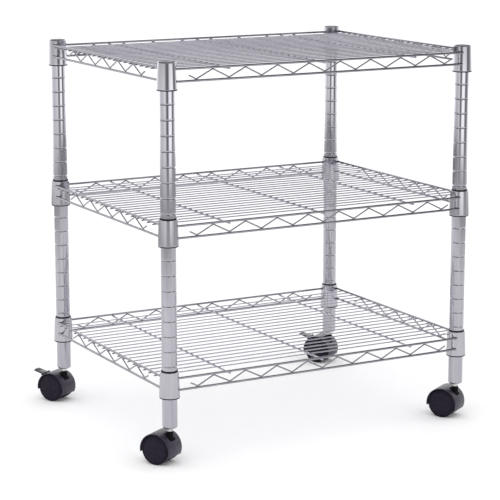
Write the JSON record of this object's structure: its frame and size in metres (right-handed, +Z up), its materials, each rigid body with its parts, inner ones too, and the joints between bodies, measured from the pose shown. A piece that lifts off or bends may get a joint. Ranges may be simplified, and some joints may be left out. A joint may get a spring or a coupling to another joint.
{
  "type": "wire shelf cart",
  "caption": "Rolling shelf unit: welded wire shelves clipped on grooved round posts, on swivelling twin-wheel casters, the rear ones with brake levers.",
  "frame": {"origin": "on the floor, under the middle of the whole footprint with the casters trailing to the back left", "axes": "+X along the long front side to the right, +Y from the front to the back, +Z up"},
  "size_m": [0.6378, 0.514, 0.6675],
  "materials": {
    "post_chrome": "bright plating",
    "collar_chrome": "bright plating",
    "rail_chrome": "bright plating",
    "wire_chrome": "bright plating",
    "stem_steel": "zinc bright",
    "pin_steel": "bare steel",
    "cap_plastic": "fine grain",
    "insert_plastic": "fine grain",
    "sleeve_plastic": "satin",
    "hood_plastic": "moulded gloss",
    "wheel_plastic": "moulded gloss",
    "lever_plastic": "moulded gloss"
  },
  "bodies": {
    "frame": {"post_front_left": "post_chrome", "post_front_right": "post_chrome", "post_rear_left": "post_chrome", "post_rear_right": "post_chrome", "cap_front_left": "cap_plastic", "cap_front_right": "cap_plastic", "cap_rear_left": "cap_plastic", "cap_rear_right": "cap_plastic", "post_inserts": "insert_plastic", "bottom_collars": "collar_chrome", "middle_collars": "collar_chrome", "top_collars": "collar_chrome", "bottom_rails": "rail_chrome", "middle_rails": "rail_chrome", "top_rails": "rail_chrome", "bottom_trusses": "wire_chrome", "middle_trusses": "wire_chrome", "top_trusses": "wire_chrome", "bottom_cross_wires": "wire_chrome", "middle_cross_wires": "wire_chrome", "top_cross_wires": "wire_chrome", "bottom_deck_wires": "wire_chrome", "middle_deck_wires": "wire_chrome", "top_deck_wires": "wire_chrome", "bottom_sleeve_front_left": "sleeve_plastic", "bottom_sleeve_front_right": "sleeve_plastic", "bottom_sleeve_rear_left": "sleeve_plastic", "bottom_sleeve_rear_right": "sleeve_plastic", "middle_sleeve_front_left": "sleeve_plastic", "middle_sleeve_front_right": "sleeve_plastic", "middle_sleeve_rear_left": "sleeve_plastic", "middle_sleeve_rear_right": "sleeve_plastic", "top_sleeve_front_left": "sleeve_plastic", "top_sleeve_front_right": "sleeve_plastic", "top_sleeve_rear_left": "sleeve_plastic", "top_sleeve_rear_right": "sleeve_plastic", "stem_front_left": "stem_steel", "stem_front_right": "stem_steel", "stem_rear_left": "stem_steel", "stem_rear_right": "stem_steel"},
    "swivel_front_left": {"hood_front_left": "hood_plastic", "axle_front_left": "pin_steel"},
    "wheel_front_left_outer": {"wheel_front_left_outer": "wheel_plastic"},
    "wheel_front_left_inner": {"wheel_front_left_inner": "wheel_plastic"},
    "swivel_front_right": {"hood_front_right": "hood_plastic", "axle_front_right": "pin_steel"},
    "wheel_front_right_outer": {"wheel_front_right_outer": "wheel_plastic"},
    "wheel_front_right_inner": {"wheel_front_right_inner": "wheel_plastic"},
    "swivel_rear_left": {"hood_rear_left": "hood_plastic", "axle_rear_left": "pin_steel", "brake_pin_left": "pin_steel"},
    "wheel_rear_left_outer": {"wheel_rear_left_outer": "wheel_plastic"},
    "wheel_rear_left_inner": {"wheel_rear_left_inner": "wheel_plastic"},
    "swivel_rear_right": {"hood_rear_right": "hood_plastic", "axle_rear_right": "pin_steel", "brake_pin_right": "pin_steel"},
    "wheel_rear_right_outer": {"wheel_rear_right_outer": "wheel_plastic"},
    "wheel_rear_right_inner": {"wheel_rear_right_inner": "wheel_plastic"},
    "brake_lever_left": {"brake_lever_left": "lever_plastic"},
    "brake_lever_right": {"brake_lever_right": "lever_plastic"}
  },
  "joints": [
    {"name": "swivel_front_left_turn", "type": "hinge", "parent": "frame", "child": "swivel_front_left", "pos_m": [-0.27646, -0.23833, 0.05], "axis": [0, 0, 1], "continuous": true},
    {"name": "wheel_front_left_outer_roll", "type": "hinge", "parent": "swivel_front_left", "child": "wheel_front_left_outer", "pos_m": [-0.29753, -0.23027, 0.025], "axis": [-0.848, -0.5299, 0], "continuous": true},
    {"name": "wheel_front_left_inner_roll", "type": "hinge", "parent": "swivel_front_left", "child": "wheel_front_left_inner", "pos_m": [-0.27447, -0.21586, 0.025], "axis": [-0.848, -0.5299, 0], "continuous": true},
    {"name": "swivel_front_right_turn", "type": "hinge", "parent": "frame", "child": "swivel_front_right", "pos_m": [0.29554, -0.23833, 0.05], "axis": [0, 0, 1], "continuous": true},
    {"name": "wheel_front_right_outer_roll", "type": "hinge", "parent": "swivel_front_right", "child": "wheel_front_right_outer", "pos_m": [0.27447, -0.23027, 0.025], "axis": [-0.848, -0.5299, 0], "continuous": true},
    {"name": "wheel_front_right_inner_roll", "type": "hinge", "parent": "swivel_front_right", "child": "wheel_front_right_inner", "pos_m": [0.29753, -0.21586, 0.025], "axis": [-0.848, -0.5299, 0], "continuous": true},
    {"name": "swivel_rear_left_turn", "type": "hinge", "parent": "frame", "child": "swivel_rear_left", "pos_m": [-0.27646, 0.19767, 0.05], "axis": [0, 0, 1], "continuous": true},
    {"name": "wheel_rear_left_outer_roll", "type": "hinge", "parent": "swivel_rear_left", "child": "wheel_rear_left_outer", "pos_m": [-0.29753, 0.20573, 0.025], "axis": [-0.848, -0.5299, 0], "continuous": true},
    {"name": "wheel_rear_left_inner_roll", "type": "hinge", "parent": "swivel_rear_left", "child": "wheel_rear_left_inner", "pos_m": [-0.27447, 0.22014, 0.025], "axis": [-0.848, -0.5299, 0], "continuous": true},
    {"name": "swivel_rear_right_turn", "type": "hinge", "parent": "frame", "child": "swivel_rear_right", "pos_m": [0.29554, 0.19767, 0.05], "axis": [0, 0, 1], "continuous": true},
    {"name": "wheel_rear_right_outer_roll", "type": "hinge", "parent": "swivel_rear_right", "child": "wheel_rear_right_outer", "pos_m": [0.27447, 0.20573, 0.025], "axis": [-0.848, -0.5299, 0], "continuous": true},
    {"name": "wheel_rear_right_inner_roll", "type": "hinge", "parent": "swivel_rear_right", "child": "wheel_rear_right_inner", "pos_m": [0.29753, 0.22014, 0.025], "axis": [-0.848, -0.5299, 0], "continuous": true},
    {"name": "brake_lever_left_press", "type": "hinge", "parent": "swivel_rear_left", "child": "brake_lever_left", "pos_m": [-0.29868, 0.23323, 0.04655], "axis": [-0.848, -0.5299, 0], "range_deg": [0, 18]},
    {"name": "brake_lever_right_press", "type": "hinge", "parent": "swivel_rear_right", "child": "brake_lever_right", "pos_m": [0.27332, 0.23323, 0.04655], "axis": [-0.848, -0.5299, 0], "range_deg": [0, 18]}
  ]
}
